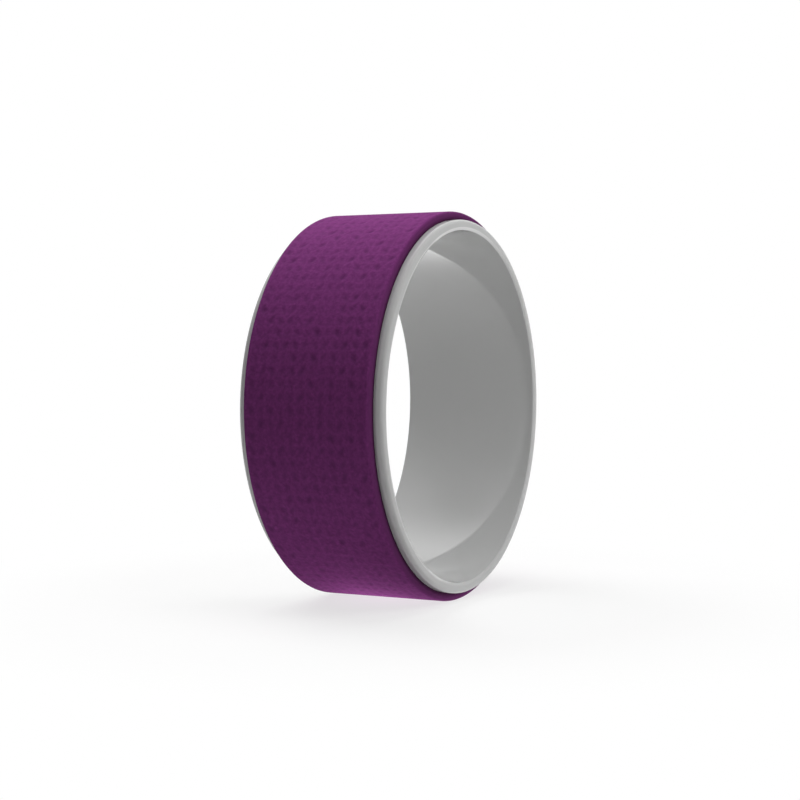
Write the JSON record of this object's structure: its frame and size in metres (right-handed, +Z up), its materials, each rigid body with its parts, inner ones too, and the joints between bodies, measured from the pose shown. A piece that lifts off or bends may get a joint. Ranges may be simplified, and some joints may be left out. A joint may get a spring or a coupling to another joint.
{
  "type": "yoga wheel",
  "caption": "Upright yoga wheel: a rigid glossy plastic hoop with rounded rims and a wide foam tread bonded round it, for back stretches and balance work.",
  "frame": {"origin": "centre of the wheel, on the hoop's axis and midway between its two rims", "axes": "+Y along the hoop's axis, +Z up with the wheel standing on its tread, +X to the side with the pad's butt joint"},
  "size_m": [0.33, 0.129, 0.33],
  "materials": {
    "hoop_plastic": "moulded, glossy mid grey",
    "pad_foam": "closed-cell foam, finely embossed, matt purple",
    "adhesive": "cured adhesive, dull"
  },
  "bodies": {
    "root": {"core_ring": "hoop_plastic", "adhesive_tape": "adhesive", "foam_pad": "pad_foam", "seam_glue": "adhesive"}
  },
  "joints": []
}
